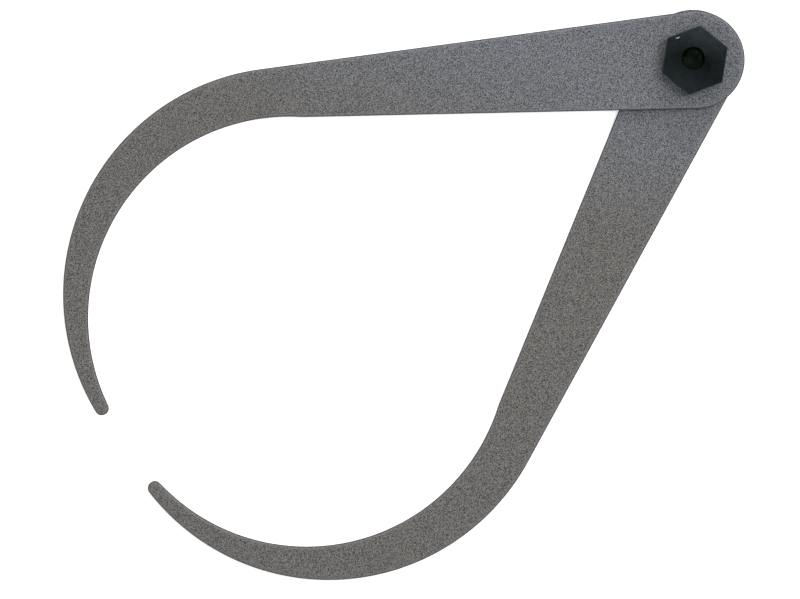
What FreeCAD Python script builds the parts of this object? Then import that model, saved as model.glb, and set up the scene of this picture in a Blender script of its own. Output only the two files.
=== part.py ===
"""Firm-joint outside caliper, 150 mm: two flat steel legs turning on an adjustable friction joint.

Millimetres, +Z up.  The origin is on the pivot axis in the plane of the lower leg's back face, which is
the face the caliper lies on.  +X runs midway between the directions of the two legs' centre lines, towards
the tips.  The lower leg lies on the +Y side, the upper leg on the -Y side.
"""
import FreeCAD, Part
import math
import os

from FreeCAD import Vector

# ---- legs ------------------------------------------------------------------------------------------
LEG_LENGTH = 150.0            # centre of the round end to the centre of the tip's round
SHEET = 2.0                   # thickness of the steel sheet
END_RADIUS = 10.65            # round end at the pivot
TIP_RADIUS = 1.55             # blunt round contact tip
TIP_DROP = 25.93              # degrees from the leg's centre line in to its tip
OUTER_TAPER = 3.2             # degrees the outer edge leans in to the centre line
OUTER_STRAIGHT = 94.3         # straight part of the outer edge
INNER_TAPER = 3.24            # degrees the inner edge leans in to the centre line
INNER_STRAIGHT = 85.9         # straight part of the inner edge
INNER_KINK = 5.0              # degrees of the corner where the inner bow starts
EDGE_BREAK = 0.2              # chamfer left all round the blank by tumbling
HALF_ANGLE = 30.03            # degrees from +X to each leg's centre line, as the caliper lies
UPPER_HOLE_ALONG = 0.59       # the upper leg's hole is off its round end's centre: this far along
UPPER_HOLE_ASIDE = 0.34       # and this far towards the outer edge

# ---- joint, from the back face up ------------------------------------------------------------------
JOURNAL_DIAMETER = 6.35       # quarter-inch stud, plain where the upper leg turns on it
RUNNING_FIT = 0.04            # radial clearance of turning fits
FACE_PLAY = 0.02              # clearance between faces that turn on each other
FLATS = 5.2                   # width across the two flats milled along the stud
STUD_HEAD_DIAMETER = 9.4      # countersunk head, flush with the lower leg's back
STUD_HEAD_DEPTH = 1.1
JOINT_WASHER_DIAMETER = 18.0  # fibre washer between the legs
JOINT_WASHER = 0.4
FACE_WASHER_DIAMETER = 12.6   # fibre washer on top of the upper leg
FACE_WASHER = 0.3
KEYED_WASHER_DIAMETER = 12.2  # steel washer that the stud's flats keep from turning
KEYED_WASHER = 0.6
SPRING_DIAMETER = 12.0        # conical spring washer under the nut
SPRING = 0.4                  # its sheet thickness
SPRING_CONE = 0.25            # how far its rim drops below its bore
NUT_ACROSS_FLATS = 13.34      # quarter-inch Whitworth hexagon
NUT_HEIGHT = 5.08
NUT_EDGE_BREAK = 0.12
NUT_TURN = 46.4               # degrees from +X to one corner of the nut
NUT_OFFSET = 0.53             # the hexagon's middle lies this far from the axis of its thread
NUT_OFFSET_TURN = 94.0        # degrees from +X to the hexagon's middle
THREAD_MINOR_DIAMETER = 4.72  # open thread above the stud's end
STUD_RECESS = 1.7             # the stud ends this far below the nut's top

# ---- worked out from the above ---------------------------------------------------------------------
BORE = JOURNAL_DIAMETER + 2 * RUNNING_FIT
JOINT_WASHER_Z = SHEET
UPPER_LEG_Z = JOINT_WASHER_Z + JOINT_WASHER + FACE_PLAY
FACE_WASHER_Z = UPPER_LEG_Z + SHEET + FACE_PLAY
KEYED_WASHER_Z = FACE_WASHER_Z + FACE_WASHER
SPRING_Z = KEYED_WASHER_Z + KEYED_WASHER
NUT_Z = SPRING_Z + SPRING_CONE + SPRING + FACE_PLAY
STUD_TOP_Z = NUT_Z + NUT_HEIGHT - STUD_RECESS
UP = Vector(0, 0, 1)


def at(x, y, z=0.0):
    """A point in the frame of the shape being drawn."""
    return Vector(x, y, z)


def direction(degrees):
    """Unit vector in the XY plane at an angle from +X."""
    angle = math.radians(degrees)
    return Vector(math.cos(angle), math.sin(angle), 0)


def disc(diameter, thickness, height):
    """Round plate with its lower face at a height on the pivot axis."""
    return Part.makeCylinder(diameter / 2, thickness, at(0, 0, height), UP)


def double_flat_bar(diameter, across_flats, length, height):
    """Round bar on the pivot axis with two parallel flats, as milled along the stud."""
    bar = disc(diameter, length, height)
    slab = Part.makeBox(across_flats, 2 * diameter, length, at(-across_flats / 2, -diameter, height))
    return bar.common(slab)


def fibre_washer(diameter, thickness, height):
    """Flat ring that turns freely on the stud's journal."""
    return disc(diameter, thickness, height).cut(disc(BORE, thickness, height))


def bow_radius(start, heading, tip, reach):
    """Radius of the arc that leaves start at heading, curving right, and touches the tip's round.

    reach is the tip radius for the inner edge, whose arc passes outside the round, and minus the tip
    radius for the outer edge, whose arc passes round it.
    """
    to_centre = direction(heading - 90)
    across = tip - start
    return (across.dot(across) - reach ** 2) / (2 * (to_centre.dot(across) + reach))


def bow(start, heading, tip, reach):
    """The bow of one edge: its middle and end points, the end being where it meets the tip's round."""
    radius = bow_radius(start, heading, tip, reach)
    centre = start + direction(heading - 90) * radius
    to_tip = (tip - centre).normalize()
    end = centre + to_tip * radius
    to_start = (start - centre).normalize()
    middle = centre + (to_start + to_tip).normalize() * radius
    return middle, end


def blank_outline():
    """Outline of a leg's blank: centre line on +X from the round end, outer edge on the +Y side."""
    tip = direction(-TIP_DROP) * LEG_LENGTH
    outer_root = direction(90 - OUTER_TAPER) * END_RADIUS
    outer_corner = outer_root + direction(-OUTER_TAPER) * OUTER_STRAIGHT
    outer_middle, outer_end = bow(outer_corner, -OUTER_TAPER, tip, -TIP_RADIUS)
    inner_root = direction(INNER_TAPER - 90) * END_RADIUS
    inner_corner = inner_root + direction(INNER_TAPER) * INNER_STRAIGHT
    inner_heading = INNER_TAPER + INNER_KINK
    inner_middle, inner_end = bow(inner_corner, inner_heading, tip, TIP_RADIUS)
    nose = tip + (outer_end - inner_end).cross(UP).normalize() * TIP_RADIUS
    return Part.Wire([
        Part.Arc(inner_root, at(-END_RADIUS, 0), outer_root).toShape(),
        Part.LineSegment(outer_root, outer_corner).toShape(),
        Part.Arc(outer_corner, outer_middle, outer_end).toShape(),
        Part.Arc(outer_end, nose, inner_end).toShape(),
        Part.Arc(inner_end, inner_middle, inner_corner).toShape(),
        Part.LineSegment(inner_corner, inner_root).toShape(),
    ])


def blank():
    """Leg blank with its edges broken, lower face at Z = 0, before its hole is made."""
    plate = Part.Face(blank_outline()).extrude(UP * SHEET)
    rim = [edge for edge in plate.Edges if abs(edge.BoundBox.ZLength) < EDGE_BREAK]
    return plate.makeChamfer(EDGE_BREAK, rim)


def lower_leg():
    """Leg that carries the stud: flat-sided hole, countersunk from the back for the stud's head."""
    leg = blank()
    leg.rotate(at(0, 0), UP, HALF_ANGLE)
    return leg.cut(stud_root())


def upper_leg():
    """The same blank turned over, with a round hole that turns on the stud's journal."""
    leg = blank()
    leg.rotate(at(0, 0, SHEET / 2), Vector(1, 0, 0), 180)
    leg.translate(at(-UPPER_HOLE_ALONG, UPPER_HOLE_ASIDE))
    leg.rotate(at(0, 0), UP, -HALF_ANGLE)
    leg.translate(at(0, 0, UPPER_LEG_Z))
    return leg.cut(disc(BORE, SHEET, UPPER_LEG_Z))


def stud_root():
    """The stud's countersunk head and the flat-sided shank that fill the lower leg's hole."""
    head = Part.makeCone(STUD_HEAD_DIAMETER / 2, JOURNAL_DIAMETER / 2, STUD_HEAD_DEPTH, at(0, 0), UP)
    shank = double_flat_bar(JOURNAL_DIAMETER, FLATS, SHEET, 0)
    return head.fuse(shank)


def pivot_stud():
    """Stud fixed in the lower leg: round journal for the upper leg, then flats up to its end."""
    journal_top = FACE_WASHER_Z + FACE_WASHER
    journal = disc(JOURNAL_DIAMETER, journal_top - SHEET, SHEET)
    thread = double_flat_bar(JOURNAL_DIAMETER, FLATS, STUD_TOP_Z - journal_top, journal_top)
    return stud_root().fuse([journal, thread]).removeSplitter()


def keyed_washer():
    """Steel washer whose flat-sided bore fits the stud's flats."""
    bore = double_flat_bar(BORE, FLATS + 2 * RUNNING_FIT, KEYED_WASHER, KEYED_WASHER_Z)
    return disc(KEYED_WASHER_DIAMETER, KEYED_WASHER, KEYED_WASHER_Z).cut(bore)


def spring_washer():
    """Conical spring washer: its rim bears on the keyed washer, its bore on the nut."""
    bore_radius = BORE / 2 + 2 * RUNNING_FIT
    rim_radius = SPRING_DIAMETER / 2
    section = Part.makePolygon([
        at(bore_radius, 0, SPRING_Z + SPRING_CONE),
        at(rim_radius, 0, SPRING_Z),
        at(rim_radius, 0, SPRING_Z + SPRING),
        at(bore_radius, 0, SPRING_Z + SPRING_CONE + SPRING),
        at(bore_radius, 0, SPRING_Z + SPRING_CONE),
    ])
    return Part.Face(section).revolve(at(0, 0), UP, 360)


def hex_nut():
    """Nut cut from hexagon bar: thread drawn plain, engaged below, open above the stud's end."""
    corner_radius = NUT_ACROSS_FLATS / 2 / math.cos(math.radians(30))
    middle = direction(NUT_OFFSET_TURN) * NUT_OFFSET + at(0, 0, NUT_Z)
    corners = [direction(NUT_TURN + 60 * step) * corner_radius + middle for step in range(7)]
    body = Part.Face(Part.makePolygon(corners)).extrude(UP * NUT_HEIGHT)
    rim = [edge for edge in body.Edges if abs(edge.BoundBox.ZLength) < NUT_EDGE_BREAK]
    body = body.makeChamfer(NUT_EDGE_BREAK, rim)
    engaged = disc(BORE, STUD_TOP_Z - NUT_Z, NUT_Z)
    return body.cut(engaged).cut(disc(THREAD_MINOR_DIAMETER, NUT_HEIGHT, NUT_Z))


PIECES = {
    "lower_leg": lower_leg(),
    "upper_leg": upper_leg(),
    "pivot_stud": pivot_stud(),
    "joint_washer": fibre_washer(JOINT_WASHER_DIAMETER, JOINT_WASHER, JOINT_WASHER_Z),
    "face_washer": fibre_washer(FACE_WASHER_DIAMETER, FACE_WASHER, FACE_WASHER_Z),
    "keyed_washer": keyed_washer(),
    "spring_washer": spring_washer(),
    "hex_nut": hex_nut(),
}

os.makedirs("parts", exist_ok=True)
for name, shape in PIECES.items():
    shape.exportStep(f"parts/{name}.step")
    state = "valid" if shape.isValid() else "NOT VALID"
    print(name, state, len(shape.Solids), "solid", round(shape.Volume, 2))
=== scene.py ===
"""Firm-joint outside caliper: two tumbled steel legs on an adjustable friction joint.

Shapes are worked out in millimetres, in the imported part's own frame, and written to the meshes in
metres.  Outlines in the plane of the sheet are complex numbers, x + iy.  The lower leg lies on the
+Y side and carries the stud and the washers; the upper leg and the nut each turn on the stud.
"""
import logging
import math
from collections.abc import Sequence
from dataclasses import dataclass, field
from enum import Enum

import bmesh
import bpy
import numpy as np
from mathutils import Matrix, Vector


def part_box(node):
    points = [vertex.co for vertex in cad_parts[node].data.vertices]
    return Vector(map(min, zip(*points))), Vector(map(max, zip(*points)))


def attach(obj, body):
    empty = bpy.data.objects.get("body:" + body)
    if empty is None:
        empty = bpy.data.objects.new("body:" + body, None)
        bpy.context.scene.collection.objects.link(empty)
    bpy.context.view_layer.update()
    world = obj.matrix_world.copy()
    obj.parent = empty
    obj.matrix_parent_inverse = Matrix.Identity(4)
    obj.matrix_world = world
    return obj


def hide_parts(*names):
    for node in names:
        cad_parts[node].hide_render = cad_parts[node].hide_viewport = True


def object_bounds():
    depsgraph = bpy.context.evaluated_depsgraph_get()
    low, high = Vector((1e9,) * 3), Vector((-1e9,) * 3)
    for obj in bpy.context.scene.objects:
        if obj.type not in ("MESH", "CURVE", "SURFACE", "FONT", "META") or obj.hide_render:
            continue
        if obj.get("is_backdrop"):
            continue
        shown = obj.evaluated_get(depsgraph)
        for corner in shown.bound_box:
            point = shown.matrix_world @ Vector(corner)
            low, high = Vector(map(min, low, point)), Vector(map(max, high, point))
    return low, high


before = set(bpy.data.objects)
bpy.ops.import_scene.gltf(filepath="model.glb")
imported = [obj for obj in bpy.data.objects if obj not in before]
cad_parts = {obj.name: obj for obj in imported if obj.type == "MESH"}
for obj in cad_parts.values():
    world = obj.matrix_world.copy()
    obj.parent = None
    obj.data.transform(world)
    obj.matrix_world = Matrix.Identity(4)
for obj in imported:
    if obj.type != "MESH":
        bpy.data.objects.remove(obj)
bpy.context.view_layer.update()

Array = np.ndarray
Rows = Sequence[tuple[Array, float | Array]]

log = logging.getLogger("caliper")

MM = 0.001                    # one millimetre, in metres
WELD = 1e-4                   # points nearer to each other than this become one, in mm
FULL_TURN = 360.0             # degrees


# ---- plane geometry --------------------------------------------------------------------------------
def unit(degrees: float | Array) -> complex | Array:
    """Unit vector at an angle from +X, as a complex number."""
    return np.exp(1j * np.radians(degrees))


def angle_of(vector: complex | Array) -> float | Array:
    """Angle of a vector from +X, in degrees."""
    return np.degrees(np.angle(vector))


def arc(centre: complex, radius: float, start: float, end: float, count: int) -> Array:
    """Points along an arc, going the short way round: centre + radius * unit(angle).

    Args:
        centre: Middle of the arc's circle.
        radius: Radius in mm.
        start: First angle in degrees.
        end: Last angle in degrees.
        count: Number of points, both ends included.

    Returns:
        The points.
    """
    sweep = (end - start + FULL_TURN / 2) % FULL_TURN - FULL_TURN / 2
    return centre + radius * unit(start + sweep * np.linspace(0.0, 1.0, count))


def blend(start: complex | Array, end: complex | Array, share: float | Array) -> Array:
    """Straight mix of two points or arrays of them: start where share is 0, end where it is 1."""
    return start + (end - start) * share


def double_flat(radius: float, across_flats: float, angles: Array) -> Array:
    """Radius of a round bar with two flats: the smaller of the circle's and half the flats over the cosine.

    Args:
        radius: Radius of the bar in mm.
        across_flats: Width across its flats, which face +X and -X, in mm.
        angles: Angles about the bar's axis in degrees.

    Returns:
        The radius at each angle.
    """
    cosine = np.maximum(np.abs(np.cos(np.radians(angles))), 1e-6)
    return np.minimum(radius, across_flats / 2 / cosine)


# ---- meshes ----------------------------------------------------------------------------------------
@dataclass(frozen=True)
class Patch:
    """A grid of points that becomes a sheet of quads.

    Attributes:
        points: rows x columns x 3, in mm.
        wear_and_edge_shading: rows x columns, how far an edge has been worn bright there, 0 to 1; on the legs
            the bright rows are partly a painted highlight, and rows below 0 are darkened as painted shade.
        wrap_rows: Whether the last row joins the first.
        wrap_columns: Whether the last column joins the first.
    """

    points: Array
    wear_and_edge_shading: Array
    wrap_rows: bool = False
    wrap_columns: bool = False

    def quads(self, first: int) -> Array:
        """Corner indices of the grid's faces.

        Args:
            first: Index of the patch's first point in the mesh.

        Returns:
            faces x 4 indices.
        """
        rows, columns = self.points.shape[:2]
        index = first + np.arange(rows * columns).reshape(rows, columns)
        if self.wrap_rows:
            index = np.vstack([index, index[:1]])
        if self.wrap_columns:
            index = np.hstack([index, index[:, :1]])
        corners = (index[:-1, :-1], index[:-1, 1:], index[1:, 1:], index[1:, :-1])
        return np.stack([corner.ravel() for corner in corners], axis=1)


def patch_from_rows(rows: Rows, wear_and_edge_shading: Sequence[float], **wraps: bool) -> Patch:
    """Stacks rows of plane points and heights into a patch.

    Args:
        rows: For each row its complex points and their height or heights.
        wear_and_edge_shading: How far each row is worn bright, or on a leg's wall darkened as painted shade.
        **wraps: Which way the grid closes, as in Patch.

    Returns:
        The patch.
    """
    plane = np.array([points for points, _ in rows])
    heights = np.array([np.broadcast_to(height, points.shape) for points, height in rows])
    points = np.stack([plane.real, plane.imag, heights], axis=2)
    return Patch(points, np.broadcast_to(np.array(wear_and_edge_shading)[:, None], plane.shape), **wraps)


def make_piece(name: str, patches: Sequence[Patch]) -> bpy.types.Object:
    """Welds patches into one closed smooth mesh at the origin, faces outward.

    Points closer than WELD become one, and quads that lose a side by it become triangles, which closes
    the poles and seams.

    Args:
        name: Name of the piece.
        patches: Its grids.

    Returns:
        The new object.
    """
    starts = np.cumsum([0] + [patch.wear_and_edge_shading.size for patch in patches])
    points = np.vstack([patch.points.reshape(-1, 3) for patch in patches])
    wear_and_edge_shading = np.concatenate([patch.wear_and_edge_shading.ravel() for patch in patches])
    quads = np.vstack([patch.quads(start) for patch, start in zip(patches, starts)])
    cells = np.round(points / WELD).astype(np.int64)
    _, keep, welded = np.unique(cells, axis=0, return_index=True, return_inverse=True)
    quads = welded.reshape(-1)[quads]
    repeats = quads == np.roll(quads, -1, axis=1)
    whole = quads[repeats.sum(axis=1) == 0]
    short = repeats.sum(axis=1) == 1
    triangles = quads[short][~repeats[short]].reshape(-1, 3)
    mesh = bpy.data.meshes.new(name)
    mesh.from_pydata((points[keep] * MM).tolist(), [], whole.tolist() + triangles.tolist())
    mesh.attributes.new("wear_and_edge_shading", "FLOAT", "POINT").data.foreach_set("value", wear_and_edge_shading[keep].astype(np.float32))
    shell = bmesh.new()
    shell.from_mesh(mesh)
    bmesh.ops.recalc_face_normals(shell, faces=shell.faces)
    open_edges = sum(not edge.is_manifold for edge in shell.edges)
    shell.to_mesh(mesh)
    shell.free()
    mesh.shade_smooth()
    piece = bpy.data.objects.new(name, mesh)
    bpy.context.scene.collection.objects.link(piece)
    weighted = piece.modifiers.new("flat faces stay flat", "WEIGHTED_NORMAL")
    weighted.keep_sharp = True
    log.info("%s: %d faces, %d open edges", name, len(mesh.polygons), open_edges)
    return piece


def quarter_round(reach: float, steps: int) -> tuple[Array, Array]:
    """Quarter circle that turns a flat face into a side wall.

    Args:
        reach: Radius in mm.
        steps: Number of points, both ends included.

    Returns:
        How far each point lies inside the wall, and how far below the face.
    """
    turn = np.linspace(0.0, math.pi / 2, steps)
    return reach * (1 - np.sin(turn)), reach * (1 - np.cos(turn))


# ---- finishes --------------------------------------------------------------------------------------
def linear(hex_colour: str) -> tuple[float, float, float, float]:
    """Turns an sRGB hex colour to linear light.

    Args:
        hex_colour: The colour, such as #6e6e70.

    Returns:
        Its linear red, green and blue, and 1 for alpha.
    """
    channels = [int(hex_colour[place:place + 2], 16) / 255 for place in (1, 3, 5)]
    shares = [c / 12.92 if c <= 0.04045 else ((c + 0.055) / 1.055) ** 2.4 for c in channels]
    return (*shares, 1.0)


def per_metre(size_mm: float) -> float:
    """Texture scale that makes a pattern's features about this size."""
    return 1.0 / (size_mm * MM)


def rings_scale(pitch_mm: float) -> float:
    """Scale of a ring wave whose rings are this far apart; the wave repeats every tau / 20 by itself."""
    return math.tau / 20 * per_metre(pitch_mm)


def add_node(tree: bpy.types.NodeTree, kind: str, inputs: dict[str | int, object] | None = None,
             **settings: object) -> bpy.types.Node:
    """Adds a node, sets its properties, and sets or links its inputs.

    Args:
        tree: Node tree of the material.
        kind: Node type without its ShaderNode prefix.
        inputs: Socket name or number to a value or to the output socket that feeds it.
        **settings: Node properties.

    Returns:
        The node.
    """
    node = tree.nodes.new("ShaderNode" + kind)
    for key, value in settings.items():
        setattr(node, key, value)
    for key, value in (inputs or {}).items():
        if isinstance(value, bpy.types.NodeSocket):
            tree.links.new(value, node.inputs[key])
        else:
            node.inputs[key].default_value = value
    return node


@dataclass(frozen=True)
class Finish:
    """A surface finish; each kind fills in its own shader.

    Attributes:
        name: Name of the material.
        slot: The record's material slot; not used.
    """

    name: str
    slot: str

    def shade(self, tree: bpy.types.NodeTree, place: bpy.types.NodeSocket) -> bpy.types.Node:
        """Builds the shader from object coordinates.

        Args:
            tree: Node tree of the material.
            place: Object coordinates, in metres.

        Returns:
            The shader node.
        """
        raise NotImplementedError

    def material(self) -> bpy.types.Material:
        """Makes the finish's material, once.

        Returns:
            The material, the same one at every call.
        """
        made = bpy.data.materials.get(self.name)
        if made:
            return made
        made = bpy.data.materials.new(self.name)
        made.use_nodes = True
        tree = made.node_tree
        tree.nodes.clear()
        place = add_node(tree, "TexCoord").outputs["Object"]
        shader = self.shade(tree, place)
        add_node(tree, "OutputMaterial", {"Surface": shader.outputs[0]})
        return made

    def dress(self, piece: bpy.types.Object) -> None:
        """Gives the piece this finish.

        Args:
            piece: The piece.
        """
        piece.data.materials.clear()
        piece.data.materials.append(self.material())


@dataclass(frozen=True)
class TumbledSteel(Finish):
    """Blanked sheet steel, tumbled with abrasive: dull mid grey, even grain, edges worn a little bright.

    The bright edges are partly a painted highlight and the dark walls partly painted shade, and the tone
    turns from cool to warm as a painted light tint.

    Attributes:
        cool: Tone of the sheet near the joint, tinted blue as painted cool light.
        warm: Tone at the lower leg's bow, tinted brown as painted warm light.
        worn: Tone of the rubbed edges, partly a painted highlight.
        sheared: Tone of the wall left by the blanking tool, darkened as painted shade.
        pit: Tone of the dark pits.
        nick: Tone of the bright nicks.
        pits: Spacing and radius of the pits in mm.
        nicks: Spacing and radius of the nicks in mm.
        grain: Size of the abrasive's dents in mm; a little coarser than the real 0.15 mm, so it shows.
        contrast: How much the grain lightens and darkens the tone.
        grain_lift: Height of the faces above the grain pattern's own lattice, in cells: at a whole
            number of cells the pattern would go flat.
        dent: Depth of the dents in mm.
        rough: Roughness of the dull face.
        edge_rough: Roughness of the rubbed edges.
        wall_metallic: How metallic the sheared wall is where its tone is darkened as painted shade.
        warm_way: Direction in which the painted light tint turns warm, from the joint to the lower leg's bow.
        warm_from: Where it starts to turn, in mm from the joint.
        warm_to: Where it is all warm, in mm from the joint.
        cloud: Size of the patches that make the turn uneven, in mm.
        cloud_shift: How far a patch shifts the turn, in mm.
        streak: Width of a shear mark in mm.
        streak_squeeze: Scale of the shear marks' pattern in height, which draws them out twelvefold.
    """

    cool: str = "#686a6e"
    warm: str = "#656361"
    worn: str = "#8f9092"
    sheared: str = "#2b2b2b"
    pit: str = "#262524"
    nick: str = "#b9babb"
    pits: tuple[float, float] = (4.5, 0.17)
    nicks: tuple[float, float] = (11.0, 0.16)
    grain: float = 0.22
    contrast: float = 0.98
    grain_lift: float = 0.16
    dent: float = 0.03
    rough: float = 0.68
    edge_rough: float = 0.5
    wall_metallic: float = 0.5
    warm_way: tuple[float, float, float] = (0.8, 0.6, 0.0)
    warm_from: float = 22.0
    warm_to: float = 49.0
    cloud: float = 35.0
    cloud_shift: float = 12.0
    streak: float = 0.5
    streak_squeeze: float = 0.08

    def shade(self, tree: bpy.types.NodeTree, place: bpy.types.NodeSocket) -> bpy.types.Node:
        """Metal whose tone is a painted cool-to-warm light tint times grain, with pits, bright nicks, edges
        worn bright and partly a painted highlight, and walls darkened partly as painted shade.

        Args:
            tree: Node tree of the material.
            place: Object coordinates, in metres.

        Returns:
            The shader node.
        """
        lifted = add_node(tree, "VectorMath", {0: place, 1: (0.0, 0.0, self.grain_lift * self.grain * MM)})
        grain = add_node(tree, "TexNoise", {
            "Vector": lifted.outputs[0], "Scale": per_metre(self.grain), "Detail": 1.0})
        lift = add_node(tree, "MapRange", {
            "Value": grain.outputs["Fac"], "From Min": 0.25, "From Max": 0.75,
            "To Min": 1 - self.contrast, "To Max": 1 + self.contrast})
        wear_and_edge_shading = add_node(tree, "Attribute", attribute_name="wear_and_edge_shading").outputs["Fac"]
        # The wall mask marks the rows darkened towards the sheared wall: partly a real wall, partly painted
        # shade.
        wall = add_node(tree, "MapRange", {"Value": wear_and_edge_shading, "From Max": -1.0}).outputs[0]
        streaked = add_node(tree, "Mix", {
            0: 1.0, 6: linear(self.sheared), 7: self.streaks(tree, place)},
            data_type="RGBA", blend_type="MULTIPLY").outputs[2]
        # The tone starts cool near the joint and turns warm towards the lower leg's bow: a painted light
        # tint.
        tone = linear(self.cool)
        for share, over, blend_type in (
                (self.painted_light_tint(tree, place), linear(self.warm), "MIX"),
                (1.0, lift.outputs[0], "MULTIPLY"),
                # Rubbed edges, partly a painted highlight; next, the wall's dark tone, partly painted shade.
                (wear_and_edge_shading, linear(self.worn), "MIX"),
                (wall, streaked, "MIX"),
                (self.spots(tree, place, *self.pits), linear(self.pit), "MIX"),
                (self.spots(tree, place, *self.nicks), linear(self.nick), "MIX")):
            tone = add_node(tree, "Mix", {0: share, 6: tone, 7: over},
                            data_type="RGBA", blend_type=blend_type).outputs[2]
        rough = add_node(tree, "MapRange", {
            "Value": wear_and_edge_shading, "To Min": self.rough, "To Max": self.edge_rough})
        metallic = add_node(tree, "MapRange", {"Value": wall, "To Min": 1.0, "To Max": self.wall_metallic})
        bump = add_node(tree, "Bump", {
            "Height": grain.outputs["Fac"], "Strength": 0.5, "Distance": self.dent * MM})
        return add_node(tree, "BsdfPrincipled", {
            "Base Color": tone, "Metallic": metallic.outputs[0],
            "Roughness": rough.outputs[0], "Normal": bump.outputs[0]})

    def painted_light_tint(self, tree: bpy.types.NodeTree, place: bpy.types.NodeSocket) -> bpy.types.NodeSocket:
        """Share of the painted warm light tint, which grows away from the joint to the lower leg's bow,
        unevenly.

        It is the distance along warm_way plus a slow noise, mapped from warm_from..warm_to to 0..1.

        Args:
            tree: Node tree of the material.
            place: Object coordinates, in metres.

        Returns:
            Socket of the share.
        """
        along = add_node(tree, "VectorMath", {0: place, 1: self.warm_way}, operation="DOT_PRODUCT")
        cloud = add_node(tree, "TexNoise", {"Vector": place, "Scale": per_metre(self.cloud), "Detail": 1.0})
        shifted = add_node(tree, "Math", {
            0: cloud.outputs["Fac"], 1: self.cloud_shift * MM, 2: along.outputs["Value"]},
            operation="MULTIPLY_ADD")
        return add_node(tree, "MapRange", {
            "Value": shifted.outputs[0], "From Min": self.warm_from * MM,
            "From Max": self.warm_to * MM}).outputs[0]

    def streaks(self, tree: bpy.types.NodeTree, place: bpy.types.NodeSocket) -> bpy.types.NodeSocket:
        """Upright shear marks on the wall: noise drawn out in height.

        Args:
            tree: Node tree of the material.
            place: Object coordinates, in metres.

        Returns:
            Socket of the factor by which the marks darken and lighten the wall.
        """
        drawn = add_node(tree, "Mapping", {"Vector": place, "Scale": (1.0, 1.0, self.streak_squeeze)})
        noise = add_node(tree, "TexNoise", {
            "Vector": drawn.outputs[0], "Scale": per_metre(self.streak), "Detail": 2.0})
        return add_node(tree, "MapRange", {
            "Value": noise.outputs["Fac"], "From Min": 0.3, "From Max": 0.7,
            "To Min": 0.5, "To Max": 1.6}).outputs[0]

    def spots(self, tree: bpy.types.NodeTree, place: bpy.types.NodeSocket, spacing: float,
              radius: float) -> bpy.types.NodeSocket:
        """Scattered round spots, about one to a cell of a Voronoi pattern.

        Args:
            tree: Node tree of the material.
            place: Object coordinates, in metres.
            spacing: Spacing of the spots in mm.
            radius: Radius of a spot in mm.

        Returns:
            Socket that is 0.8 in a spot and 0 elsewhere.
        """
        cells = add_node(tree, "TexVoronoi", {"Vector": place, "Scale": per_metre(spacing)})
        rim = radius / spacing
        return add_node(tree, "MapRange", {
            "Value": cells.outputs["Distance"], "From Min": rim * 0.6, "From Max": rim,
            "To Min": 0.8, "To Max": 0.0}).outputs[0]


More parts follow.
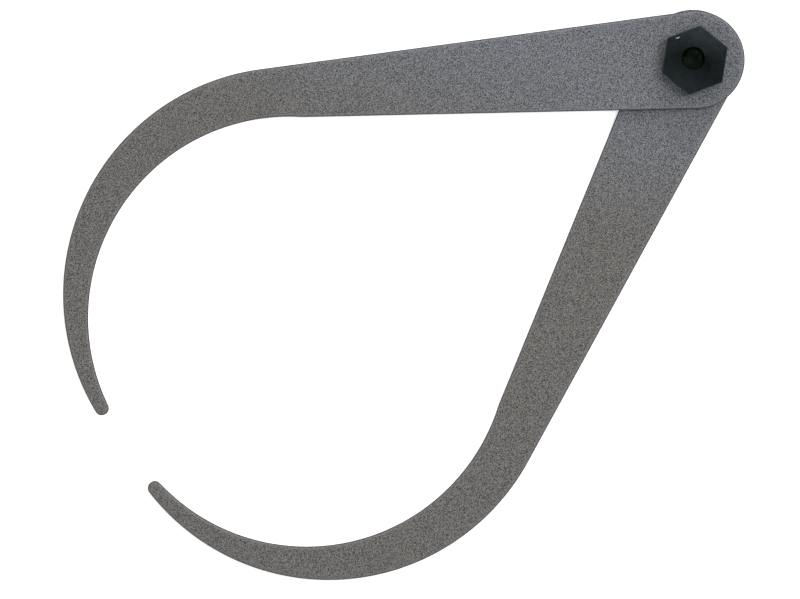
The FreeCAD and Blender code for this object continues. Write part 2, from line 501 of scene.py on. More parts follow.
@dataclass(frozen=True)
class BlackOxide(Finish):
    """Turned steel, chemically blacked and oiled: blue-black, silky, fine rings on the turned face.

    Attributes:
        black: Colour of the oxide.
        bare: Colour of the steel where it is rubbed or ground through.
        scraped: Colour of the steel in a scratch.
        painted_sheen: How far the painted highlight rises and falls round the face.
        painted_light_side: Degrees from +X to the side that the painted highlight makes brighter.
        band: Degrees from +X to the band of painted reflection along which the turning marks seem to gleam.
        dim_from: Distance from the axis in mm up to which the face is dimmest, as painted shade towards the
            hole.
        dim_to: Distance from the axis in mm from which it is brightest.
        scar: Middle of a wrench's scratch in mm, or None.
        scar_turn: Degrees from +X along the scratch.
        scar_size: Length and width of the scratch in mm.
        film: Size of the unevenness of the oil's film in mm.
        ring: Pitch of the turning marks in mm.
        groove: Depth of the turning marks in mm.
        rough: Roughness.
    """

    black: str = "#141819"
    bare: str = "#6a6c6e"
    scraped: str = "#8f9192"
    painted_sheen: float = 0.34
    painted_light_side: float = -130.0
    band: float = 43.0
    dim_from: float = 2.3
    dim_to: float = 5.5
    scar: tuple[float, float] | None = None
    scar_turn: float = 163.0
    scar_size: tuple[float, float] = (1.1, 0.26)
    film: float = 1.2
    ring: float = 0.16
    groove: float = 0.008
    rough: float = 0.4

    def shade(self, tree: bpy.types.NodeTree, place: bpy.types.NodeSocket) -> bpy.types.Node:
        """Dark metal with turning marks, an uneven film of oil, rubbed edges, and a painted highlight and
        shade round the face.

        Args:
            tree: Node tree of the material.
            place: Object coordinates, in metres.

        Returns:
            The shader node.
        """
        cloud = add_node(tree, "TexNoise", {"Vector": place, "Scale": per_metre(self.film), "Detail": 3.0})
        film = add_node(tree, "MapRange", {
            "Value": cloud.outputs["Fac"], "From Min": 0.3, "From Max": 0.7, "To Min": 0.8, "To Max": 1.2})
        wear_and_edge_shading = add_node(tree, "Attribute", attribute_name="wear_and_edge_shading").outputs["Fac"]
        bare = add_node(tree, "Mix", {0: 1.0, 6: linear(self.bare), 7: film.outputs[0]},
                        data_type="RGBA", blend_type="MULTIPLY").outputs[2]
        layers = [
            (1.0, film.outputs[0], "MULTIPLY"),
            # A painted highlight round the face, and painted shade towards the hole.
            (1.0, self.gleam(tree, place), "MULTIPLY"),
            (wear_and_edge_shading, bare, "MIX")]
        if self.scar:
            layers.append((self.scratch(tree, place), linear(self.scraped), "MIX"))
        tone = linear(self.black)
        for share, over, blend_type in layers:
            tone = add_node(tree, "Mix", {0: share, 6: tone, 7: over},
                            data_type="RGBA", blend_type=blend_type).outputs[2]
        rings = add_node(tree, "TexWave", {
            "Vector": place, "Scale": rings_scale(self.ring), "Distortion": 0.0},
            wave_type="RINGS", rings_direction="Z")
        bump = add_node(tree, "Bump", {
            "Height": rings.outputs["Fac"], "Strength": 0.6, "Distance": self.groove * MM})
        return add_node(tree, "BsdfPrincipled", {
            "Base Color": tone, "Metallic": 1.0, "Roughness": self.rough, "Normal": bump.outputs[0]})

    def gleam(self, tree: bpy.types.NodeTree, place: bpy.types.NodeSocket) -> bpy.types.NodeSocket:
        """Painted highlight round the face, more on one side and along one band, and painted shade towards
        the hole.

        With a the angle about the axis, it is 1 + sheen * (cos(a - lean) + cos(2 * (a - band))), times a
        ramp that rises with the distance from the axis.

        Args:
            tree: Node tree of the material.
            place: Object coordinates, in metres.

        Returns:
            Socket of the factor on the tone.
        """
        flat = add_node(tree, "VectorMath", {0: place, 1: (1.0, 1.0, 0.0)}, operation="MULTIPLY")
        outward = add_node(tree, "VectorMath", {0: flat.outputs[0]}, operation="NORMALIZE")
        to_lean, to_band = [
            add_node(tree, "VectorMath", {0: outward.outputs[0], 1: (way.real, way.imag, 0.0)},
                     operation="DOT_PRODUCT").outputs["Value"]
            for way in (unit(self.painted_light_side), unit(self.band))]
        band = add_node(tree, "Math", {0: to_band, 1: to_band}, operation="MULTIPLY")
        leaning = add_node(tree, "Math", {
            0: to_lean, 1: self.painted_sheen, 2: 1 - self.painted_sheen}, operation="MULTIPLY_ADD")
        whole = add_node(tree, "Math", {
            0: band.outputs[0], 1: 2 * self.painted_sheen, 2: leaning.outputs[0]}, operation="MULTIPLY_ADD")
        reach = add_node(tree, "VectorMath", {0: flat.outputs[0]}, operation="LENGTH")
        ramp = add_node(tree, "MapRange", {
            "Value": reach.outputs["Value"], "From Min": self.dim_from * MM, "From Max": self.dim_to * MM,
            "To Min": 0.6, "To Max": 1.1})
        return add_node(tree, "Math", {
            0: whole.outputs[0], 1: ramp.outputs[0]}, operation="MULTIPLY").outputs[0]

    def scratch(self, tree: bpy.types.NodeTree, place: bpy.types.NodeSocket) -> bpy.types.NodeSocket:
        """A short bright scratch: the inside of an ellipse about the scar.

        Args:
            tree: Node tree of the material.
            place: Object coordinates, in metres.

        Returns:
            Socket that is 0.8 in the scratch and 0 elsewhere.
        """
        length, width = self.scar_size
        local = add_node(tree, "Mapping", {
            "Vector": place, "Location": (self.scar[0] * MM, self.scar[1] * MM, 0.0),
            "Rotation": (0.0, 0.0, math.radians(self.scar_turn)),
            "Scale": (length / 2 * MM, width / 2 * MM, 1.0)}, vector_type="TEXTURE")
        reach = add_node(tree, "VectorMath", {0: local.outputs[0]}, operation="LENGTH")
        return add_node(tree, "MapRange", {
            "Value": reach.outputs["Value"], "From Min": 0.6, "From Max": 1.0,
            "To Min": 0.8, "To Max": 0.0}).outputs[0]


@dataclass(frozen=True)
class TurnedSteel(Finish):
    """Turned or pressed steel that has dulled: soft gleam, faint stains, fine rings about the pivot axis.

    Attributes:
        colour: Tone of the steel.
        stained: Tone of its stains.
        stain: Size of a stain in mm.
        ring: Pitch of the turning marks in mm.
        groove: Depth of the turning marks in mm.
        rough: Roughness.
    """

    colour: str = "#7e7f80"
    stained: str = "#5c5b59"
    stain: float = 1.6
    ring: float = 0.2
    groove: float = 0.006
    rough: float = 0.36

    def shade(self, tree: bpy.types.NodeTree, place: bpy.types.NodeSocket) -> bpy.types.Node:
        """Metal with concentric turning marks and a faint uneven stain.

        Args:
            tree: Node tree of the material.
            place: Object coordinates, in metres.

        Returns:
            The shader node.
        """
        stain = add_node(tree, "TexNoise", {"Vector": place, "Scale": per_metre(self.stain), "Detail": 3.0})
        tone = add_node(tree, "Mix", {
            0: stain.outputs["Fac"], 6: linear(self.colour), 7: linear(self.stained)}, data_type="RGBA")
        rings = add_node(tree, "TexWave", {
            "Vector": place, "Scale": rings_scale(self.ring), "Distortion": 0.4, "Detail Scale": 1.0},
            wave_type="RINGS", rings_direction="Z")
        bump = add_node(tree, "Bump", {
            "Height": rings.outputs["Fac"], "Strength": 0.5, "Distance": self.groove * MM})
        return add_node(tree, "BsdfPrincipled", {
            "Base Color": tone.outputs[2], "Metallic": 1.0, "Roughness": self.rough,
            "Normal": bump.outputs[0]})


@dataclass(frozen=True)
class VulcanisedFibre(Finish):
    """Pressed cotton fibre board: dark brown, matt, with a fine matted fibre in it.

    Attributes:
        dark: Colour of the board.
        pale: Colour of the fibres in it.
        fibre: Width of a tuft of fibres in mm.
        tooth: Depth of the surface's tooth in mm.
        rough: Roughness.
    """

    dark: str = "#3a2a25"
    pale: str = "#5a4238"
    fibre: float = 0.3
    tooth: float = 0.02
    rough: float = 0.72

    def shade(self, tree: bpy.types.NodeTree, place: bpy.types.NodeSocket) -> bpy.types.Node:
        """Matt board with short pale fibres and a slight tooth.

        Args:
            tree: Node tree of the material.
            place: Object coordinates, in metres.

        Returns:
            The shader node.
        """
        fibre = add_node(tree, "TexNoise", {
            "Vector": place, "Scale": per_metre(self.fibre), "Detail": 4.0, "Distortion": 1.5})
        tone = add_node(tree, "Mix", {
            0: fibre.outputs["Fac"], 6: linear(self.dark), 7: linear(self.pale)}, data_type="RGBA")
        bump = add_node(tree, "Bump", {
            "Height": fibre.outputs["Fac"], "Strength": 0.5, "Distance": self.tooth * MM})
        return add_node(tree, "BsdfPrincipled", {
            "Base Color": tone.outputs[2], "Roughness": self.rough, "Normal": bump.outputs[0]})


# Legs: cold-rolled sheet, blanked and tumbled; grey and even, without a reflection to be seen in it.
# Their tone turns from cool to warm as a painted light tint, their rubbed edges are partly a painted
# highlight, and their walls are darkened partly as painted shade.
LEG_STEEL = TumbledSteel("tumbled_sheet_steel", "leg_steel")
# Stud: blacked like the nut, and darker still as painted shade where its end sits deep in the nut's hole; its
# head ground bright at the back.
STUD_STEEL = BlackOxide("blacked_stud_steel", "stud_steel", black="#0d110d", painted_sheen=0.0, bare="#77787a")
# Keyed washer: pressed from bright strip, left as it comes; dull silver.
WASHER_STEEL = TurnedSteel("pressed_washer_steel", "washer_steel", colour="#8a8b8c", ring=0.5)
# Spring washer: hardened and tempered to blue, and smoother than the rest.
SPRING_STEEL = TurnedSteel("blued_spring_steel", "spring_steel", colour="#39424f", ring=0.4, rough=0.3)
# Fibre washers: board stamped to shape; brown rims between the grey steels.
FIBRE = VulcanisedFibre("vulcanised_fibre", "fibre")
# Nut: faced off from hexagon bar, then blacked; a painted highlight round its face, and a wrench's scratch on
# its face.
BLACKED = BlackOxide("blacked_hexagon_bar", "black_oxide", scar=(0.295, -5.558))


# ---- legs ------------------------------------------------------------------------------------------
class Edge(Enum):
    """The two long edges of a leg; the value is the side of the centre line."""

    OUTER = 1
    INNER = -1


class Side(Enum):
    """Which way the blank lies: as cut for the lower leg, turned over for the upper."""

    LOWER = "lower_leg"
    UPPER = "upper_leg"


@dataclass(frozen=True)
class LegBlank:
    """Outline of a leg in its own plane, in mm: centre line on +X from the round end, outer edge on +Y.

    Each edge runs from the back of the round end along a straight taper and a bow to the nose of the
    tip.  A bow is the one arc that leaves its straight and touches the tip's round.

    Attributes:
        length: Round end's centre to the tip's centre.
        end_radius: Radius of the round end.
        tip_radius: Radius of the round tip.
        tip_drop: Degrees from the centre line in to the tip.
        outer_taper: Degrees that the outer edge leans in.
        outer_straight: Length of the outer edge's straight part.
        inner_taper: Degrees that the inner edge leans in.
        inner_straight: Length of the inner edge's straight part.
        inner_kink: Degrees of the corner where the inner bow starts.
        root_share: Share of the straight that lies beside the hole.
        end_steps: Points round half of the round end.
        root_steps: Points along the straight beside the hole.
        straight_steps: Points along the rest of the straight.
        bow_steps: Points along the bow.
        tip_steps: Points round half of the tip.
    """

    length: float = 150.0
    end_radius: float = 10.65
    tip_radius: float = 1.55
    tip_drop: float = 25.93
    outer_taper: float = 3.2
    outer_straight: float = 94.3
    inner_taper: float = 3.24
    inner_straight: float = 85.9
    inner_kink: float = 5.0
    root_share: float = 0.13
    end_steps: int = 44
    root_steps: int = 24
    straight_steps: int = 40
    bow_steps: int = 130
    tip_steps: int = 16

    @property
    def tip(self) -> complex:
        """Centre of the tip's round."""
        return self.length * unit(-self.tip_drop)

    def bow_circle(self, start: complex, heading: float, reach: float) -> tuple[complex, float]:
        """Circle of the arc that leaves start at heading, curving right, and touches the tip's round.

        Args:
            start: Point where the arc starts.
            heading: Direction there, in degrees.
            reach: Tip radius for the inner edge, minus the tip radius for the outer.

        Returns:
            The circle's centre and radius.
        """
        to_centre = unit(heading - 90)
        across = self.tip - start
        radius = (abs(across) ** 2 - reach ** 2) / (2 * ((across * np.conj(to_centre)).real + reach))
        return start + radius * to_centre, radius

    def corners(self, edge: Edge) -> tuple[complex, complex, complex, float]:
        """The named points of one edge.

        Args:
            edge: Which edge.

        Returns:
            Root, where the straight starts; corner, where it ends; the bow's centre and its radius.
        """
        outer = edge is Edge.OUTER
        taper = self.outer_taper if outer else self.inner_taper
        straight = self.outer_straight if outer else self.inner_straight
        heading = -edge.value * taper
        root = self.end_radius * unit(heading + edge.value * 90)
        corner = root + straight * unit(heading)
        kink = 0.0 if outer else self.inner_kink
        centre, radius = self.bow_circle(corner, heading + kink, -edge.value * self.tip_radius)
        return root, corner, centre, radius

    def nose_angle(self) -> float:
        """Direction in which the tip points, in degrees: the mean of the two edges' last headings."""
        headings = [angle_of(self.tip - self.corners(edge)[2]) - 90 for edge in Edge]
        return sum(headings) / 2

    def edge(self, edge: Edge) -> tuple[Array, Array]:
        """One edge's points and outward normals, station by station.

        Args:
            edge: Which edge.

        Returns:
            Points and unit normals, as complex arrays.
        """
        side = edge.value
        root, corner, centre, radius = self.corners(edge)
        end = arc(0, self.end_radius, side * 180, angle_of(root), self.end_steps)[:-1]
        straight = blend(root, corner, self.straight_shares())[:-1]
        to_tip = angle_of(self.tip - centre)
        bow = arc(centre, radius, angle_of(corner - centre), to_tip, self.bow_steps)
        contact = to_tip if edge is Edge.OUTER else to_tip + 180
        tip = arc(self.tip, self.tip_radius, contact, self.nose_angle(), self.tip_steps)[1:]
        normals = np.concatenate([
            end / self.end_radius, np.full(straight.size, root / self.end_radius),
            side * (bow - centre) / radius, (tip - self.tip) / self.tip_radius])
        return np.concatenate([end, straight, bow, tip]), normals

    def straight_shares(self) -> Array:
        """Spaces the straight's stations, closer together beside the hole.

        Returns:
            Shares of the straight, from 0 to 1.
        """
        beside = np.linspace(0, self.root_share, self.root_steps + 1)
        beyond = np.linspace(self.root_share, 1, self.straight_steps + 1)
        return np.concatenate([beside, beyond[1:]])

    def hole_angles(self, edge: Edge) -> Array:
        """Angles about the hole of the stations beside it: round the back, then on to the front.

        Args:
            edge: Which half of the leg.

        Returns:
            Angles in degrees.
        """
        root_angle = angle_of(self.corners(edge)[0])
        back = np.linspace(edge.value * 180, root_angle, self.end_steps)[:-1]
        front = np.linspace(root_angle, 0, self.root_steps + 1)
        return np.concatenate([back, front])

    def spine(self, edge: Edge, hole_centre: complex, hole_radii: Array) -> Array:
        """The line that a half of the leg runs in to: round the hole, down the middle, to the tip.

        The middle is the mean of the two edges; along the bow it is drawn on to the tip's centre by the
        square of the share of the way.

        Args:
            edge: Which half.
            hole_centre: Centre of the hole.
            hole_radii: Its radius at each of hole_angles.

        Returns:
            One point for each station of the edge.
        """
        hole = hole_centre + hole_radii * unit(self.hole_angles(edge))
        root, corner, centre, _ = self.corners(edge)
        middle = (self.edge(Edge.OUTER)[0] + self.edge(Edge.INNER)[0]) / 2
        first_bow = self.end_steps + self.root_steps + self.straight_steps - 1
        shares = np.linspace(0, 1, self.straight_steps + 1)[1:]
        neck = blend(hole[-1], middle[first_bow], shares)
        bow = middle[first_bow + 1:first_bow + self.bow_steps]
        bow = bow + (self.tip - bow[-1]) * np.linspace(0, 1, bow.size) ** 2
        tip = np.full(self.tip_steps - 1, self.tip)
        return np.concatenate([hole, neck, bow, tip])


@dataclass(frozen=True)
class EdgeSection:
    """Section of a tumbled edge: the face rolls off gently, then turns round into the wall.

    Attributes:
        roll: Width over which the face rolls off.
        droop: Depth that the roll-off would reach at the wall.
        radius: Radius of the turn.
        roll_steps: Rows across the roll-off.
        turn_steps: Rows round the turn.
        wear_and_edge_shading: Wear of each row, from the face to the wall: above 0 where the edge is rubbed
            bright, partly a
        painted highlight; below 0 where it is bare sheared wall, darkened as painted shade from partway round
        the turn.
    """

    roll: float = 1.1
    droop: float = 0.05
    radius: float = 0.42
    roll_steps: int = 3
    turn_steps: int = 6
    # From partway round the turn down the wall the rows are darkened as painted shade; the bright rows are
    # partly a painted highlight.
    wear_and_edge_shading: tuple[float, ...] = (0.0, 0.0, 0.05, 0.12, 0.2, -0.3, -0.9, -1.0, -1.0)

    def rows(self) -> tuple[Array, Array]:
        """Rows from the flat face to the wall.

        The roll-off is a parabola, droop * (1 - inside / roll) ** 2, and the turn a quarter circle.

        Returns:
            How far each row lies inside the wall, and how far below the face.
        """
        rolled = np.linspace(self.roll, self.radius, self.roll_steps + 1)
        droop = self.droop * (1 - rolled / self.roll) ** 2
        inside, below = quarter_round(self.radius, self.turn_steps)
        return np.concatenate([rolled, inside[1:]]), np.concatenate([droop, droop[-1] + below[1:]])


@dataclass
class Leg:
    """One leg: the blank with softened edges and its hole.

    Attributes:
        side: Lower or upper.
        blank: Its outline.
        half_angle: Degrees from +X to the leg's centre line.
        hole: Where the blank's hole is drilled, in mm; it comes to lie on the pivot axis.
        section: Section of its edges.
        face_shares: Rows of a flat face, as shares from the spine out to the edge.
    """

    side: Side
    blank: LegBlank = field(default_factory=LegBlank)
    half_angle: float = 30.03
    hole: complex = 0j
    section: EdgeSection = field(default_factory=EdgeSection)
    face_shares: tuple[float, ...] = (0.0, 0.4, 0.75, 0.96)

    def place(self, points: Array) -> Array:
        """Brings points of the blank into the part's frame; the upper leg's blank is turned over.

        Args:
            points: Points of the blank.

        Returns:
            The points as they lie, with the hole on the pivot axis.
        """
        if self.side is Side.UPPER:
            return np.conj(points - self.hole) * unit(-self.half_angle)
        return (points - self.hole) * unit(self.half_angle)

    def softness(self, points: Array) -> Array:
        """Size of the edge's section at each station: uneven by a tenth or so, as tumbling leaves it.

        It is 1 plus a small share of three sine waves that cross the blank at different slants.

        Args:
            points: The edge's points.

        Returns:
            A factor for each.
        """
        x, y = points.real, points.imag
        sway = np.sin(x / 4.1 + y / 2.3) + 0.7 * np.sin(x / 1.7 - y / 3.1 + 1.3) + 0.5 * np.sin(y / 9.3 + 0.4)
        return 1 + 0.06 * sway

    def half(self, edge: Edge, low: float, high: float, walls: Rows) -> list[Patch]:
        """Top face, edge, bottom face and hole wall of one half of the leg.

        Args:
            edge: Which half.
            low: Height of the bottom face.
            high: Height of the top face.
            walls: Radii and heights of the hole's rows, from the top face down.

        Returns:
            Two patches.
        """
        points, normals = self.blank.edge(edge)
        soft = self.softness(points)
        inside, below = self.section.rows()
        wear_and_edge_shading = self.section.wear_and_edge_shading
        rim = [(points - normals * soft * i, high - soft * b) for i, b in zip(inside, below)]
        top_spine = self.blank.spine(edge, self.hole, walls[0][0])
        low_spine = self.blank.spine(edge, self.hole, walls[-1][0])
        top = [(blend(top_spine, rim[0][0], share), high) for share in self.face_shares]
        bottom = [(blend(low_spine, rim[0][0], share), low) for share in self.face_shares]
        rows = top + rim + [(plane, low + high - height) for plane, height in rim[::-1]] + bottom[::-1]
        flat = [0.0] * len(self.face_shares)
        placed = [(self.place(plane), height) for plane, height in rows]
        face = patch_from_rows(placed, [*flat, *wear_and_edge_shading, *wear_and_edge_shading[::-1], *flat])
        angles = self.blank.hole_angles(edge)
        hole = [(self.place(self.hole + radii * unit(angles)), height) for radii, height in walls]
        return [face, patch_from_rows(hole, [0.0] * len(hole))]

    def build(self, walls: dict[Edge, Rows]) -> bpy.types.Object:
        """Makes the leg in the height that its CAD node takes.

        Args:
            walls: For each half the rows of the hole's wall.

        Returns:
            The leg, dressed and riding on its body.
        """
        low, high = (corner.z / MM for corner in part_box(self.side.value))
        patches = [patch for edge in Edge for patch in self.half(edge, low, high, walls[edge])]
        leg = make_piece(self.side.value + "_blank", patches)
        LEG_STEEL.dress(leg)
        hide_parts(self.side.value)
        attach(leg, self.side.value)
        return leg


# ---- joint -----------------------------------------------------------------------------------------
@dataclass(frozen=True)
class Ring:
    """A washer's shape: a flat or slightly conical ring with softened corners.

    Attributes:
        outer: Outside radius.
        inner: Bore radius, at each column's angle if it isn't round.
        low: Height of the lower face, at the rim if it is conical.
        thickness: Thickness of the sheet.
        cone: How far the bore stands above the rim.
        soft: Radius of its corners.
        columns: Points round the ring.
        corner_steps: Points round each corner of its section.
    """

    outer: float
    inner: float | Array
    low: float
    thickness: float
    cone: float = 0.0
    soft: float = 0.06
    columns: int = 144
    corner_steps: int = 4

    def patch(self) -> Patch:
        """The ring as one grid: its section carried round the axis, with a quarter round at each corner.

        A conical ring's rows are then raised by the cone times their share of the way from rim to bore.

        Returns:
            The patch.
        """
        inside, below = quarter_round(self.soft, self.corner_steps)
        inner = np.broadcast_to(self.inner, self.columns).astype(float)
        top, low = self.low + self.thickness, self.low
        outer = np.full(self.columns, self.outer)
        corner = list(zip(inside, below))
        outer_top = [(outer - i, top - b) for i, b in corner]
        outer_low = [(outer - i, low + b) for i, b in corner[::-1]]
        inner_low = [(inner + i, low + b) for i, b in corner]
        inner_top = [(inner + i, top - b) for i, b in corner[::-1]]
        profile = outer_top + outer_low + inner_low + inner_top
        angles = np.arange(self.columns) * FULL_TURN / self.columns
        reach = self.outer - inner
        rows = [(radii * unit(angles), height + self.cone * (self.outer - radii) / reach)
                for radii, height in profile]
        return patch_from_rows(rows, [0.0] * len(rows), wrap_rows=True, wrap_columns=True)


@dataclass(frozen=True)
class WhitworthThread:
    """Quarter-inch Whitworth thread: 20 to the inch, rounded crests and roots.

    Attributes:
        major: Radius over the crests of the screw.
        minor: Radius at its roots.
        pitch: Rise in one turn.
    """

    major: float = 3.175
    minor: float = 2.36
    pitch: float = 1.27

    def radii(self, angles: Array, height: float) -> Array:
        """Radius of the thread's surface at a height, round the axis.

        The form is a triangular wave along the axis, swelled so that its crests and roots are round,
        and it lags by one pitch in each turn.

        Args:
            angles: Angles about the axis in degrees.
            height: Height in mm.

        Returns:
            The radius at each angle.
        """
        phase = (height / self.pitch - angles / FULL_TURN) % 1.0
        wave = np.sin(np.pi / 2 * np.clip(1.3 * (1 - 4 * np.abs(phase - 0.5)), -1, 1))
        return (self.major + self.minor) / 2 + (self.major - self.minor) / 2 * wave


@dataclass
class PivotJoint:
    """Stud and washers that carry the upper leg, all in the lower leg's body.

    Attributes:
        journal: Radius of the stud where the upper leg turns.
        bore: Radius of the round holes that turn on it.
        flats: Width across the stud's flats.
        head_radius: Radius of the countersunk head at the back.
        head_depth: Depth of the countersink.
        groove: Width and depth of the fine gap round the head.
        hole_chamfer: Width of the chamfers of the upper leg's hole.
        end_chamfer: Height of the chamfer at the stud's end.
        end_share: Radius of the flat end inside that chamfer, as a share of the thread's minor radius.
        dimple_radius: Radius of the centre mark in the end.
        dimple_depth: Depth of the centre mark.
        spring_cone: How far the spring washer's bore stands above its rim.
        crease: Degrees past which the stud's edges stay sharp.
        columns: Points round the stud.
        thread_rows: Rows in one turn of its thread.
        thread: Its thread.
    """

    journal: float = 3.175
    bore: float = 3.215
    flats: float = 5.2
    head_radius: float = 4.7
    head_depth: float = 1.1
    groove: float = 0.07
    hole_chamfer: float = 0.12
    end_chamfer: float = 0.35
    end_share: float = 0.98
    dimple_radius: float = 0.5
    dimple_depth: float = 0.15
    spring_cone: float = 0.25
    crease: float = 40.0
    columns: int = 192
    thread_rows: int = 9
    thread: WhitworthThread = field(default_factory=WhitworthThread)

    def leg_walls(self, leg: Leg) -> dict[Edge, Rows]:
        """Rows of the hole's wall for each half of a leg.

        Args:
            leg: The leg; the lower one has a flat-sided hole with a countersink at the back.

        Returns:
            Radii and heights for each half, from the top face down.
        """
        low, high = (corner.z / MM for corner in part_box(leg.side.value))
        walls = {}
        for edge in Edge:
            angles = leg.blank.hole_angles(edge)
            circle = np.ones(angles.size)
            if leg.side is Side.UPPER:
                chamfer = self.hole_chamfer
                mouth = (self.bore + chamfer) * circle
                walls[edge] = [(mouth, high), (self.bore * circle, high - chamfer),
                               (self.bore * circle, low + chamfer), (mouth, low)]
                continue
            keyed = double_flat(self.journal, self.flats, angles + leg.half_angle)
            walls[edge] = [
                (keyed, high), (keyed, self.head_depth), (self.journal * circle, self.head_depth),
                (self.cone(self.groove) * circle, self.groove),
                ((self.head_radius + self.groove) * circle, low)]
        return walls

    def cone(self, height: float) -> float:
        """Radius of the countersunk head at a height above the back face."""
        return self.head_radius + (self.journal - self.head_radius) * height / self.head_depth

    def stud(self) -> bpy.types.Object:
        """The stud: flush head, flat-sided root, plain journal, then thread with two flats milled on it.

        It is a profile of radii carried round the axis, where the flats and the thread make a row's
        radii vary with the angle.

        Returns:
            The stud, not yet dressed.
        """
        angles = np.arange(self.columns) * FULL_TURN / self.columns
        circle = np.ones(self.columns)
        keyed = double_flat(self.journal, self.flats, angles)
        sheet_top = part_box("lower_leg")[1].z / MM
        journal_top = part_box("keyed_washer")[0].z / MM
        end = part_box("pivot_stud")[1].z / MM
        profile = [
            (0 * circle, 0.0), ((self.head_radius - self.groove * 2) * circle, 0.0),
            (self.cone(self.groove) * circle, self.groove), (self.journal * circle, self.head_depth),
            (keyed, self.head_depth), (keyed, sheet_top), (self.journal * circle, sheet_top),
            (self.journal * circle, journal_top)]
        thread_top = end - self.end_chamfer
        turns = (thread_top - journal_top) / self.thread.pitch
        for height in np.linspace(journal_top, thread_top, round(turns * self.thread_rows) + 1):
            profile.append((np.minimum(self.thread.radii(angles, height), keyed), height))
        profile += [
            (self.thread.minor * self.end_share * circle, end), (self.dimple_radius * circle, end),
            (0 * circle, end - self.dimple_depth)]
        rows = [(radii * unit(angles), height) for radii, height in profile]
        ground_head = [1.0, 1.0] + [0.0] * (len(rows) - 2)
        stud = make_piece("pivot_stud_turned", [patch_from_rows(rows, ground_head, wrap_columns=True)])
        stud.data.set_sharp_from_angle(angle=math.radians(self.crease))
        return stud

    def washer(self, node: str, inner: float | Array, **shape: float) -> bpy.types.Object:
        """Makes a washer in the place of its CAD node.

        Args:
            node: Name of the node.
            inner: Bore radius, or radii.
            **shape: Other sizes of the Ring.

        Returns:
            The washer.
        """
        low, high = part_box(node)
        thickness = (high.z - low.z) / MM - shape.get("cone", 0.0)
        ring = Ring(high.x / MM, inner, low.z / MM, thickness, **shape)
        return make_piece(node + "_ring", [ring.patch()])

    def build(self) -> None:
        """Makes the stud and the four washers, and lets them ride with the lower leg."""
        angles = np.arange(Ring.columns) * FULL_TURN / Ring.columns
        slack = 2 * (self.bore - self.journal)
        keyed_bore = double_flat(self.bore, self.flats + slack, angles)
        made = {
            "pivot_stud": (self.stud(), STUD_STEEL),
            "joint_washer": (self.washer("joint_washer", self.bore), FIBRE),
            "face_washer": (self.washer("face_washer", self.bore), FIBRE),
            "keyed_washer": (self.washer("keyed_washer", keyed_bore), WASHER_STEEL),
            "spring_washer": (
                self.washer("spring_washer", self.bore + slack, cone=self.spring_cone), SPRING_STEEL),
        }
        for node, (piece, finish) in made.items():
            finish.dress(piece)
            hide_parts(node)
            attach(piece, "lower_leg")


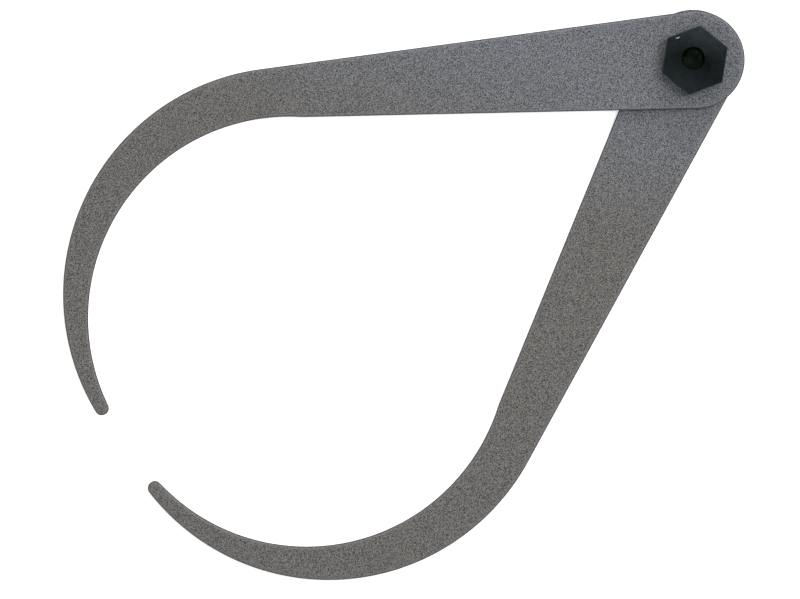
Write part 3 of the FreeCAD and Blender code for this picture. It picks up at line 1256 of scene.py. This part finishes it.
@dataclass
class HexNut:
    """Nut cut from hexagon bar: sharp corners, turned faces, open thread above the stud's end.

    Attributes:
        across_flats: Width across the flats.
        turn: Degrees from +X to one corner.
        offset: How far the hexagon's middle lies from the axis of its thread.
        offset_turn: Degrees from +X to the hexagon's middle.
        corner_radius: Radius left on the upright corners.
        edge_radius: Radius left round the faces.
        bore: Radius of the plain hole over the stud.
        mouth: Width of the chamfer at the thread's mouth.
        edge_wear: How bright the edges are rubbed.
        crease: Degrees past which the nut's edges stay sharp.
        top_shares: Rows of the top face, as shares from the mouth out to the edge.
        low_shares: Rows of the bottom face, as shares from the edge in to the hole.
        corner_steps: Points round an upright corner, and rows round a face's edge.
        flat_steps: Points along a flat.
        thread_rows: Rows up the open thread.
        thread: Its thread.
    """

    across_flats: float = 13.34
    turn: float = 46.4
    offset: float = 0.53
    offset_turn: float = 94.0
    corner_radius: float = 0.16
    edge_radius: float = 0.1
    bore: float = 3.215
    mouth: float = 0.12
    edge_wear: float = 0.12
    crease: float = 50.0
    top_shares: tuple[float, ...] = (0.0, 0.03, 0.3, 0.6, 0.97)
    low_shares: tuple[float, ...] = (0.03, 0.5, 1.0)
    corner_steps: int = 5
    flat_steps: int = 28
    thread_rows: int = 26
    thread: WhitworthThread = field(default_factory=WhitworthThread)

    def outline(self) -> tuple[Array, Array]:
        """The hexagon with rounded corners: six times a small arc and the flat that follows it.

        Returns:
            Points and outward unit normals as complex arrays, counter-clockwise.
        """
        apothem = self.across_flats / 2
        points, normals = [], []
        for side in range(6):
            corner = self.turn + 60 * side
            centre = (apothem - self.corner_radius) / math.cos(math.radians(30)) * unit(corner)
            sweep = np.linspace(-30, 30, self.corner_steps)
            points.append(centre + self.corner_radius * unit(corner + sweep))
            normals.append(unit(corner + sweep))
            next_corner = centre * unit(60) + self.corner_radius * unit(corner + 30)
            shares = np.linspace(0, 1, self.flat_steps + 2)[1:-1]
            points.append(blend(points[-1][-1], next_corner, shares))
            normals.append(np.full(self.flat_steps, unit(corner + 30)))
        middle = self.offset * unit(self.offset_turn)
        return middle + np.concatenate(points), np.concatenate(normals)

    def build(self) -> bpy.types.Object:
        """Makes the nut: one closed section, out along the top, down the flats and back up the hole.

        Returns:
            The nut, dressed and riding on its own body.
        """
        low, high = (corner.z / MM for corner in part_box("hex_nut"))
        stud_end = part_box("pivot_stud")[1].z / MM
        outline, normals = self.outline()
        angles = angle_of(outline)
        round_about = unit(angles)
        inside, below = quarter_round(self.edge_radius, self.corner_steps)
        mouth = (self.thread.minor + self.mouth) * round_about
        inset = outline - normals * self.edge_radius
        rows = [(blend(mouth, inset, share), high) for share in self.top_shares]
        wear_and_edge_shading = [0.0] * len(rows)
        rows += [(outline - normals * i, high - b) for i, b in zip(inside, below)]
        rows += [(outline - normals * i, low + b) for i, b in zip(inside[::-1], below[::-1])]
        wear_and_edge_shading += [self.edge_wear] * (2 * self.corner_steps)
        shoulder = (self.bore + self.mouth) * round_about
        rows += [(blend(inset, shoulder, share), low) for share in self.low_shares]
        rows += [(self.bore * round_about, low + self.mouth), (self.bore * round_about, stud_end)]
        for height in np.linspace(stud_end, high - self.mouth, self.thread_rows):
            rows.append((self.thread.radii(angles, height) * round_about, height))
        wear_and_edge_shading += [0.0] * (len(rows) - len(wear_and_edge_shading))
        nut = make_piece("hex_nut_blacked", [patch_from_rows(rows, wear_and_edge_shading, wrap_rows=True, wrap_columns=True)])
        nut.data.set_sharp_from_angle(angle=math.radians(self.crease))
        BLACKED.dress(nut)
        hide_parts("hex_nut")
        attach(nut, "nut")
        return nut


# ---- studio ----------------------------------------------------------------------------------------
@dataclass(frozen=True)
class Softbox:
    """A square soft light that faces the pivot and that the camera doesn't see.

    Attributes:
        name: Name of the light.
        place: Its middle, in metres.
        side: Its side in metres.
        power: Its power in watts.
    """

    name: str
    place: tuple[float, float, float]
    side: float
    power: float

    def hang(self) -> None:
        """Makes the light and turns it to the pivot."""
        data = bpy.data.lights.new(self.name, "AREA")
        data.size = self.side
        data.energy = self.power
        light = bpy.data.objects.new(self.name, data)
        light.location = self.place
        light.rotation_euler = (-light.location).to_track_quat("-Z", "Y").to_euler()
        light.visible_camera = False
        bpy.context.scene.collection.objects.link(light)


@dataclass
class Studio:
    """Pale floor, soft white light and the camera, which looks straight down.

    Attributes:
        aim: Where the camera looks, from the middle of the caliper, in mm.
        level: Height at which the view's width is measured, in mm: midway between the legs' top faces.
        distance: Camera's height in metres, far enough that the sides of the legs don't show.
        view_width: Width of the view, in mm.
        roll: Degrees that the camera is turned about the upright.
        sensor: Width of the camera's sensor, in mm.
        floor: Floor's colour.
        glow: Light that comes up through the floor, as on a light table, which keeps it white.
        floor_size: Side of the floor in metres.
        floor_gap: Height of the floor in metres: a hair under the caliper, so that the two don't flicker.
        matt: Roughness of the floor.
        sky: Strength of the white light from straight above.
        horizon: Strength of the white light from the sides.
        softboxes: The lights that show the nut's edges and give the legs their soft shadows.
    """

    aim: tuple[float, float] = (12.245, 6.824)
    level: float = 3.2
    distance: float = 5.0
    view_width: float = 174.25
    roll: float = 145.5
    sensor: float = 36.0
    floor: str = "#f6f6f6"
    glow: float = 0.45
    floor_size: float = 12.0
    floor_gap: float = -0.00002
    matt: float = 0.9
    sky: float = 0.8
    horizon: float = 1.25
    softboxes: tuple[Softbox, ...] = (
        Softbox("key", (-0.489, 0.082, 1.73), 0.35, 12.0),
        Softbox("window", (-0.966, -0.984, 1.157), 0.6, 10.0))

    def camera(self) -> None:
        """Hangs the camera over the caliper and makes it the scene's."""
        low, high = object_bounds()
        centre = (low + high) / 2
        data = bpy.data.cameras.new("camera")
        data.sensor_width = self.sensor
        data.lens = self.sensor * (self.distance - self.level * MM) / (self.view_width * MM)
        data.clip_end = 4 * self.distance
        camera = bpy.data.objects.new("camera", data)
        camera.location = (centre.x + self.aim[0] * MM, centre.y + self.aim[1] * MM, self.distance)
        camera.rotation_euler = (0.0, 0.0, math.radians(self.roll))
        bpy.context.scene.collection.objects.link(camera)
        bpy.context.scene.camera = camera

    def ground(self) -> None:
        """Lays the floor under the lower leg."""
        half = self.floor_size / 2
        mesh = bpy.data.meshes.new("floor")
        signs = ((-1, -1), (1, -1), (1, 1), (-1, 1))
        corners = [(half * x, half * y, self.floor_gap) for x, y in signs]
        mesh.from_pydata(corners, [], [(0, 1, 2, 3)])
        floor = bpy.data.objects.new("floor", mesh)
        bpy.context.scene.collection.objects.link(floor)
        paper = bpy.data.materials.new("floor_paper")
        paper.use_nodes = True
        shader = paper.node_tree.nodes["Principled BSDF"]
        shader.inputs["Base Color"].default_value = linear(self.floor)
        shader.inputs["Roughness"].default_value = self.matt
        shader.inputs["Emission Color"].default_value = (1.0, 1.0, 1.0, 1.0)
        shader.inputs["Emission Strength"].default_value = self.glow
        mesh.materials.append(paper)
        floor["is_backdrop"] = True

    def surround(self) -> None:
        """Puts white light all round: strength goes evenly from horizon to sky with the height."""
        world = bpy.data.worlds.new("soft_white")
        world.use_nodes = True
        way = add_node(world.node_tree, "TexCoord").outputs["Generated"]
        height = add_node(world.node_tree, "SeparateXYZ", {0: way}).outputs["Z"]
        strength = add_node(world.node_tree, "MapRange", {
            "Value": height, "To Min": self.horizon, "To Max": self.sky}).outputs[0]
        background = world.node_tree.nodes["Background"]
        background.inputs["Color"].default_value = (1.0, 1.0, 1.0, 1.0)
        world.node_tree.links.new(strength, background.inputs["Strength"])
        bpy.context.scene.world = world

    def build(self) -> None:
        """Sets up the whole studio."""
        self.camera()
        self.ground()
        for softbox in self.softboxes:
            softbox.hang()
        self.surround()
        bpy.context.scene.view_settings.view_transform = "Standard"


def main() -> None:
    """Builds the caliper piece by piece, then the studio."""
    logging.basicConfig(level=logging.INFO, format="%(name)s: %(message)s")
    joint = PivotJoint()
    for leg in (Leg(Side.LOWER), Leg(Side.UPPER, hole=0.59 + 0.34j)):
        leg.build(joint.leg_walls(leg))
    joint.build()
    HexNut().build()
    Studio().build()


if __name__ == "__main__":
    main()
